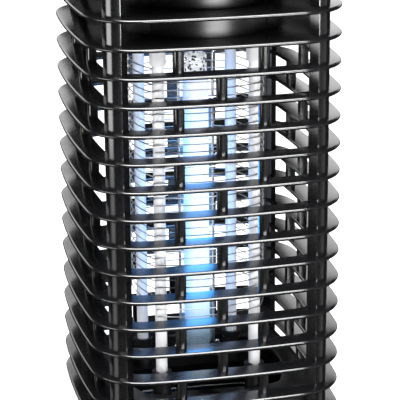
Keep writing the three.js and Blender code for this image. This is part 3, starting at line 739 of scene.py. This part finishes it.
glow_paint, paint, place = new_material("glow", (0.45, 0.5, 0.55), 0.5)
rise = along(place, glow_bottom, glow_top)
mottle = noise(place, 420.0, 4.0)
glow_colour = rise.node("ValToRGB", {"stops": [
    (0.0, (0.02, 0.03, 0.04)), (0.05, (0.05, 0.08, 0.1)), (0.09, (0.3, 0.38, 0.46)),
    (0.15, (0.5, 0.62, 0.75)), (0.2, (0.85, 0.95, 1.0)), (0.72, (0.9, 0.97, 1.0)),
    (0.83, (0.6, 0.8, 1.0)), (0.93, (0.56, 0.58, 0.84)), (1.0, (0.5, 0.52, 0.72))]}, {"Fac": rise})
across = place.node("MapRange", None, {0: place.node("SeparateXYZ", None, {0: place}),
                                       1: -0.9 * glass_radius, 2: -0.35 * glass_radius})
shadowed = glow_colour.node("Mix", {"data_type": "RGBA", "blend_type": "MULTIPLY"},
                            {"Factor": 1.0, 6: glow_colour, 7: (0.25, 0.55, 1.0, 1)}, out=2)
glow_colour.node("Mix", {"data_type": "RGBA"}, {"Factor": across, 6: shadowed, 7: glow_colour},
                 out=2).feed(paint["Emission Color"])
paint["Emission Strength"].default_value = 1.5
(mottle * 0.3 + 0.3).feed(paint["Roughness"])
core_gap = 0.2 * MM
core_radius = glass_radius - glass_wall - core_gap
mesh_piece("glow_core", "housing", "lamp_glass", glow_paint,
           *turned(round_end(core_radius, glow_bottom + core_gap)
                   + [(core_radius, glow_top), (0, glow_top)]))

# Blue light that the tube throws on the plastic round it: across, up, width, height, way and power.
tube_side = glass_radius + 1 * MM
for name, x, z, wide, tall, way, power in (
        ("blue_low", 0, 132 * MM, 14 * MM, 46 * MM, -1, 0.018),
        ("blue_high", 0, 172 * MM, 14 * MM, 36 * MM, -1, 0.005),
        ("blue_wide", -16 * MM, 130 * MM, 44 * MM, 50 * MM, -1, 0.004),
        ("blue_back", 0, 140 * MM, 60 * MM, 130 * MM, 1, 0.03)):
    soft_panel(name, (x, way * tube_side, z), (x, way, z), wide, tall, power, (0.02, 0.34, 1.0))

stem_low, stem_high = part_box("lamp_stem")
stem_paint, paint, place = new_material("stem_glass", (0.75, 0.77, 0.78), 0.1, metallic=0.6)
crackle = place.node("TexVoronoi", None, {"Vector": place, "Scale": 520.0})
bump(paint, crackle, 1.0, 0.0006)
# The stem's black and white flecks are painted reflection: one Voronoi pattern sets both the base
# colour and a glow, standing in for chrome that mirrors dark and bright surroundings. The same pattern
# also bumps the surface.
painted_glints = crackle.node("ValToRGB", {"stops": [
    (0.25, (0.005, 0.005, 0.005)), (0.5, (0.85, 0.87, 0.9))]}, {"Fac": crackle})
painted_glints.feed(paint["Base Color"])
painted_glints.feed(paint["Emission Color"])
paint["Emission Strength"].default_value = 0.5
stem_shape = ((5.6, 0), (6.0, 0.8), (6.0, 4.5), (4.4, 5.2), (4.2, 6.4), (5.8, 7.2), (5.9, 9),
              (3.4, 11), (3.4, 16))      # radius and height, in millimetres
stem_profile = [(0, stem_low.z)]
stem_profile += [(radius * MM, stem_low.z + height * MM) for radius, height in stem_shape]
stem_profile += [(stem_high.x, stem_low.z + 24 * MM), (stem_high.x, stem_high.z), (0, stem_high.z)]
stem = mesh_piece("stem_mount", "housing", "stem_glass", stem_paint, *turned(stem_profile))
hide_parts("lamp_stem")

guard_radius = 0.75 * MM
eye_radius = 1.4 * MM
leg_top = 205 * MM
spread_low = 213 * MM
spread_rise = 6.3 * MM
for side, name in ((-1, "lamp_guard_left"), (1, "lamp_guard_right")):
    guard_low, guard_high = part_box(name)
    eye_z = guard_low.z + eye_radius + guard_radius
    leg_x = glass_radius + 0.4 * MM + guard_radius
    out_x = (guard_high.x if side > 0 else -guard_low.x) - guard_radius
    line = []
    for i in range(25):
        angle = math.radians(480 - 300 * i / 24)
        line.append(Vector((side * (leg_x + eye_radius + eye_radius * math.cos(angle)), 0,
                            eye_z + eye_radius * math.sin(angle))))
    line.append(Vector((side * leg_x, 0, eye_z + 3 * MM)))
    line.append(Vector((side * leg_x, 0, leg_top)))
    for i in range(13):
        share = i / 12
        smooth = share * share * (3 - 2 * share)
        line.append(Vector((side * (leg_x + (out_x - leg_x) * smooth), 0,
                            spread_low + spread_rise * share)))
    line.append(Vector((side * out_x, 0, guard_high.z)))
    guard = mesh_piece(name + "_wire", "housing", "bright_steel", steel_wire,
                       *tube(line, guard_radius))
    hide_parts(name)

spun_metal, paint, place = new_material("lamp_cap_metal", (0.72, 0.72, 0.71), 0.3, metallic=1.0)
brush = noise(place, 300.0)
(brush * 0.25 + 0.2).feed(paint["Roughness"])
contact_brass, paint, place = new_material("contact_brass", (0.62, 0.42, 0.16), 0.3, metallic=1.0)
brush = noise(place, 500.0, 2.0)
(brush * 0.25 + 0.2).feed(paint["Roughness"])
for name, material in (("lamp_cap", spun_metal), ("lamp_contact", contact_brass),
                       ("lamp_socket", satin_black)):
    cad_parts[name].data.materials.clear()
    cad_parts[name].data.materials.append(material)


# ---- killing grid ----
# Two bare wires are wound in turn round four white rods. Each rod hangs in a sleeve at the top and
# stands in an open cup at the bottom.

white_plastic, paint, place = new_material("white_plastic", (0.7, 0.7, 0.71), 0.32)
cloud = noise(place, 90.0, 2.0)
(cloud * 0.15 + 0.25).feed(paint["Roughness"])

rod_radius = 3 * MM
bore = rod_radius + 0.3 * MM
cup_edge = 0.35 * MM
cup_root = 0.1 * MM
cup_steps = 40
clip_gap_half = 2.5 * MM
for index in range(1, 5):
    rod_low, rod_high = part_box(f"grid_rod_{index}")
    x, y = (rod_low.x + rod_high.x) / 2, (rod_low.y + rod_high.y) / 2
    rod = mesh_piece(f"rod_{index}", "housing", "white_plastic", white_plastic, *turned([
        (0, rod_low.z), (rod_radius - soft_edge, rod_low.z), (rod_radius, rod_low.z + soft_edge),
        (rod_radius, rod_high.z - soft_edge), (rod_radius - soft_edge, rod_high.z),
        (0, rod_high.z)], x, y))
    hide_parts(f"grid_rod_{index}")

    sleeve_low, sleeve_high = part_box(f"rod_sleeve_{index}")
    sleeve_radius = (sleeve_high.x - sleeve_low.x) / 2
    sleeve = mesh_piece(f"sleeve_{index}", "housing", "white_plastic", white_plastic, *turned([
        (bore, sleeve_low.z), (sleeve_radius - 0.5 * MM, sleeve_low.z),
        (sleeve_radius - 0.15 * MM, sleeve_low.z + 0.25 * MM),
        (sleeve_radius, sleeve_low.z + 0.8 * MM),
        (sleeve_radius, sleeve_high.z), (bore, sleeve_high.z)], x, y))
    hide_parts(f"rod_sleeve_{index}")

    clip_low, clip_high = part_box(f"rod_clip_{index}")
    clip_radius = (clip_high.x - clip_low.x) / 2
    cup_floor = clip_low.z + 1.8 * MM
    gap_angle = math.asin(clip_gap_half / clip_radius)
    outward = math.copysign(math.pi / 2, y)
    cup_rows = []
    for i in range(cup_steps + 1):
        angle = outward + gap_angle + (2 * math.pi - 2 * gap_angle) * i / cup_steps
        cup_rows.append([
            Vector((x + r * math.cos(angle), y + r * math.sin(angle), z))
            for r, z in ((bore, cup_floor - cup_root), (clip_radius, cup_floor - cup_root),
                         (clip_radius, clip_high.z - cup_edge),
                         (clip_radius - cup_edge, clip_high.z), (bore + cup_edge, clip_high.z),
                         (bore, clip_high.z - cup_edge))])
    base = turned([(0, clip_low.z), (clip_radius - cup_edge, clip_low.z),
                   (clip_radius, clip_low.z + cup_edge), (clip_radius, cup_floor), (0, cup_floor)],
                  x, y)
    clip = mesh_piece(f"rod_cup_{index}", "housing", "satin_black_plastic", satin_black,
                      *gather([base, sweep(cup_rows, closed=False, cap=True)]))
    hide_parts(f"rod_clip_{index}")

grid_steel, paint, place = new_material("grid_steel", (0.5, 0.5, 0.5), 0.28, metallic=1.0)
tarnish = noise(place, 60.0)
tarnish.node("ValToRGB", {"stops": [(0.3, (0.3, 0.28, 0.26)), (0.65, (0.66, 0.66, 0.66))]},
             {"Fac": tarnish}).feed(paint["Base Color"])

wire_radius = 0.3 * MM
wire_turns = 16
wire_spacing = 3.955 * MM
rod_offset = 24.7 * MM
bow_angle = 0.42
turn_radius = rod_radius + 0.3 * MM + 2 * wire_radius
side_bow = rod_offset / math.sin(bow_angle)
side_bow_centre = side_bow * math.cos(bow_angle) - rod_offset
turn_angle = math.pi / 2 - 2 * bow_angle


def winding_line(top_z):
    """Bowed sides and tight turns round the rods, climbing evenly to the top."""
    line = []
    quarters = wire_turns * 4
    for quarter in range(quarters):
        turn = Matrix.Rotation((quarter - 1) * math.pi / 2, 3, "Z")
        shape = []
        for i in range(4):
            angle = -bow_angle - turn_angle / 2 * (1 - i / 4)
            shape.append((rod_offset + turn_radius * math.cos(angle),
                          -rod_offset + turn_radius * math.sin(angle)))
        for i in range(9):
            angle = -bow_angle + 2 * bow_angle * i / 8
            shape.append(((side_bow + turn_radius) * math.cos(angle) - side_bow_centre,
                          (side_bow + turn_radius) * math.sin(angle)))
        for i in range(1, 4):
            angle = bow_angle + turn_angle / 2 * i / 4
            shape.append((rod_offset + turn_radius * math.cos(angle),
                          rod_offset + turn_radius * math.sin(angle)))
        for i, (x, y) in enumerate(shape):
            z = top_z - (quarters - quarter - i / len(shape)) * wire_spacing / 2
            line.append(turn @ Vector((x, y, z)))
    return line


for name in ("grid_wire_a", "grid_wire_b"):
    wire_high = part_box(name)[1]
    wire = mesh_piece(name + "_winding", "housing", "bright_steel", grid_steel,
                      *tube(winding_line(wire_high.z - wire_radius), wire_radius, 8))
    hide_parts(name)


# ---- lower deck ----
# A hat-shaped floor with a large opening, whose four arms carry the cups of the rods.

deck_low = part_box("lower_deck")[0]
deck_top = first_fin_z + 11 * MM
flange_top = deck_low.z + 12 * MM
flange_under = deck_low.z + 8 * MM
platform = fin_width + 0.4 * MM
platform_round = 0.8 * MM
flange_inset = 3.5 * MM
deck_wall = 2.5 * MM
spigot = 8.4 * MM
spigot_wall = 2 * MM
drop_half = 44 * MM
drop_radius = 77 * MM
arm_top = deck_top - 5 * MM
arm_under = arm_top - 4 * MM
arm_half = 4.5 * MM
arm_end = 66.5 * MM
pillar_foot = 5 * MM
pillar_radius = 4.6 * MM
pillar_gap = 0.3 * MM


def drop_point(angle, inset):
    """The opening's outline: four bowed sides that meet at the corners."""
    local = angle - round(angle / (math.pi / 2)) * math.pi / 2
    centre = drop_radius - drop_half
    reach_here = math.sqrt((drop_radius - inset) ** 2 - (centre * math.sin(local)) ** 2)
    distance = reach_here - centre * math.cos(local)
    return Vector((distance * math.cos(angle), distance * math.sin(angle), 0))


deck_profile = [(drop_point, 0, deck_top - deck_wall), (drop_point, 0, deck_top - 0.6 * MM),
                (drop_point, -0.2 * MM, deck_top - 0.2 * MM), (drop_point, -0.6 * MM, deck_top)]
deck_profile += [(outline_point, inset, z) for inset, z in reversed(
    arc_points(platform + platform_round, deck_top - platform_round, platform_round, 0, 90))]
deck_profile += [(outline_point, inset, z) for inset, z in (
    (platform, flange_top), (flange_inset + soft_edge, flange_top),
    (flange_inset, flange_top - soft_edge), (flange_inset, flange_under + soft_edge),
    (flange_inset + soft_edge, flange_under), (spigot, flange_under), (spigot, deck_low.z),
    (spigot + spigot_wall, deck_low.z), (spigot + spigot_wall, flange_under),
    (platform + deck_wall, flange_under), (platform + deck_wall, deck_top - deck_wall))]
deck_parts = [stack(deck_profile, closed=True)]
for index in range(1, 5):
    rod_low, rod_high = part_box(f"grid_rod_{index}")
    x, y = (rod_low.x + rod_high.x) / 2, (rod_low.y + rod_high.y) / 2
    pillar_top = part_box(f"rod_clip_{index}")[0].z - pillar_gap
    deck_parts.append(turned([
        (0, arm_under), (pillar_foot, arm_under), (pillar_foot, arm_top),
        (pillar_radius, arm_top + 1 * MM), (pillar_radius, pillar_top - soft_edge),
        (pillar_radius - soft_edge, pillar_top), (0, pillar_top)], x, y))
    arm = box_part((rod_offset * math.sqrt(2), -arm_half, arm_under), (arm_end, arm_half, arm_top))
    deck_parts.append(moved(arm, Matrix.Rotation(math.atan2(y, x), 4, "Z")))
deck = mesh_piece("deck_plate", "housing", "satin_black_plastic", satin_black, *gather(deck_parts))
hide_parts("lower_deck")


# ---- catch tray and feet ----
# An open box that pushes onto the deck's rim, with a ribbed grip on two sides and four rubber feet.

tray_low, tray_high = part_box("catch_tray")
tray_inset = 6 * MM
tray_wall = 2 * MM
tray_round = 3 * MM
inner_inset = tray_inset + tray_wall
inner_round = 2 * MM
tray_profile = arc_points(tray_inset + tray_round, tray_low.z + tray_round, tray_round, -90, 0, 8)
tray_profile += [(tray_inset, tray_high.z - soft_edge), (tray_inset + soft_edge, tray_high.z),
                 (inner_inset, tray_high.z)]
tray_profile += arc_points(inner_inset + inner_round, tray_low.z + tray_wall + inner_round,
                           inner_round, 0, -90, 6)
tray_parts = [stack([(outline_point, inset, z) for inset, z in tray_profile])]
grip_depth = 0.7 * MM
grip_half = 1.2 * MM
grip_pitch = 7 * MM
grip_low = tray_low.z + 7 * MM
grip_high = tray_high.z - 4 * MM
for side in (0, math.pi):
    for i in range(5):
        along_y = (i - 2) * grip_pitch
        surface = math.sqrt(bow_radius ** 2 - along_y ** 2) - bow_centre - tray_inset
        rib = box_part((surface - 1 * MM, along_y - grip_half, grip_low),
                       (surface + grip_depth, along_y + grip_half, grip_high))
        tray_parts.append(moved(rib, Matrix.Rotation(side, 4, "Z")))
tray = mesh_piece("tray_box", "tray", "gloss_black_plastic", gloss_black, *gather(tray_parts))
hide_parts("catch_tray")

rubber, paint, place = new_material("foot_rubber", (0.02, 0.02, 0.02), 0.75)
dust = noise(place, 200.0, 4.0)
(dust * 0.25 + 0.6).feed(paint["Roughness"])
for index in range(1, 5):
    foot_low, foot_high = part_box(f"rubber_foot_{index}")
    radius = (foot_high.x - foot_low.x) / 2
    foot = mesh_piece(f"foot_{index}", "tray", "foot_rubber", rubber, *turned([
        (0, foot_low.z), (radius - 0.9 * MM, foot_low.z),
        (radius - 0.25 * MM, foot_low.z + 0.25 * MM), (radius, foot_low.z + 0.9 * MM),
        (radius, foot_high.z), (0, foot_high.z)],
        (foot_low.x + foot_high.x) / 2, (foot_low.y + foot_high.y) / 2))
    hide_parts(f"rubber_foot_{index}")


# ---- screws ----
# Domed heads with a cross recess. Four hold the cover, and four hold the deck from below.

zinc, paint, place = new_material("zinc_screw", (0.48, 0.49, 0.51), 0.35, metallic=1.0)
brush = noise(place, 700.0)
(brush * 0.3 + 0.22).feed(paint["Roughness"])

head_radius = 3 * MM
head_height = 2.2 * MM
head_side = 0.9 * MM
dome_steps = 6
shaft_radius = 1.5 * MM
shaft_length = 12 * MM
thread_pitch = 1 * MM
thread_depth = 0.35 * MM
head_profile = [(0, -0.2 * MM), (head_radius - 0.2 * MM, 0), (head_radius, 0.25 * MM),
                (head_radius, head_side)]
for i in range(1, dome_steps + 1):
    angle = math.pi / 2 * i / dome_steps
    head_profile.append((head_radius * math.cos(angle),
                         head_side + (head_height - head_side) * math.sin(angle)))
head = mesh_piece("screw_pattern", "housing", "screw_steel", zinc, *turned(head_profile, steps=32))
slot_half = 0.35 * MM
slot_reach = 1.6 * MM
slot_floor = 0.9 * MM
carve(head, [box_part((-slot_reach, -slot_half, slot_floor), (slot_reach, slot_half, 3 * MM)),
             box_part((-slot_half, -slot_reach, slot_floor), (slot_half, slot_reach, 3 * MM))])
head_vertices = [v.co.copy() for v in head.data.vertices]
head_faces = [tuple(face.vertices) for face in head.data.polygons]
bpy.data.objects.remove(head)
shaft_profile = [(0, -shaft_length)]
for i in range(int(shaft_length / thread_pitch) * 2 - 2):
    z = -shaft_length + 0.5 * MM + i * thread_pitch / 2
    shaft_profile.append((shaft_radius if i % 2 else shaft_radius - thread_depth, z))
shaft_profile += [(shaft_radius, 0.3 * MM), (0, 0.3 * MM)]
screw_part = gather([(head_vertices, head_faces), turned(shaft_profile, steps=20)])
for kind, turn in (("cover_screw", 0), ("deck_screw", math.pi)):
    for index in range(1, 5):
        screw_low, screw_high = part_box(f"{kind}_{index}")
        seat = screw_high.z - head_height if kind == "cover_screw" else screw_low.z + head_height
        spot = ((screw_low.x + screw_high.x) / 2, (screw_low.y + screw_high.y) / 2, seat)
        screw = mesh_piece(f"{kind}_{index}_turned", "housing", "screw_steel", zinc, *moved(
            screw_part, Matrix.Translation(spot) @ Matrix.Rotation(turn, 4, "X")
            @ Matrix.Rotation(0.4 + index, 4, "Z")))
        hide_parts(f"{kind}_{index}")


# ---- electronics ----
# The board and its parts are closed inside the chamber, so they keep their CAD shapes.


def cloudy(name, dark, light, roughness, scale):
    """A dull material whose colour wanders a little between two shades."""
    material, paint, place = new_material(name, light, roughness)
    cloud = noise(place, scale, 4.0)
    cloud.node("ValToRGB", {"stops": [(0.35, dark), (0.65, light)]}, {"Fac": cloud}).feed(
        paint["Base Color"])
    return material


electronics = {
    "circuit_board": cloudy("solder_resist", (0.01, 0.09, 0.04), (0.02, 0.14, 0.06), 0.35, 150.0),
    "transformer": cloudy("core_and_tape", (0.03, 0.025, 0.02), (0.3, 0.24, 0.06), 0.5, 90.0),
    "film_capacitor_1": cloudy("dipped_red", (0.32, 0.02, 0.01), (0.42, 0.03, 0.02), 0.25, 200.0),
    "filter_capacitor": cloudy("dark_sleeve", (0.01, 0.015, 0.05), (0.02, 0.03, 0.08), 0.3, 120.0),
    "terminal_block": cloudy("terminal_green", (0.03, 0.18, 0.08), (0.04, 0.24, 0.1), 0.4, 200.0),
}
electronics["film_capacitor_2"] = electronics["film_capacitor_1"]
for index in range(1, 5):
    electronics[f"board_screw_{index}"] = zinc
for name, material in electronics.items():
    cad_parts[name].data.materials.clear()
    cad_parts[name].data.materials.append(material)
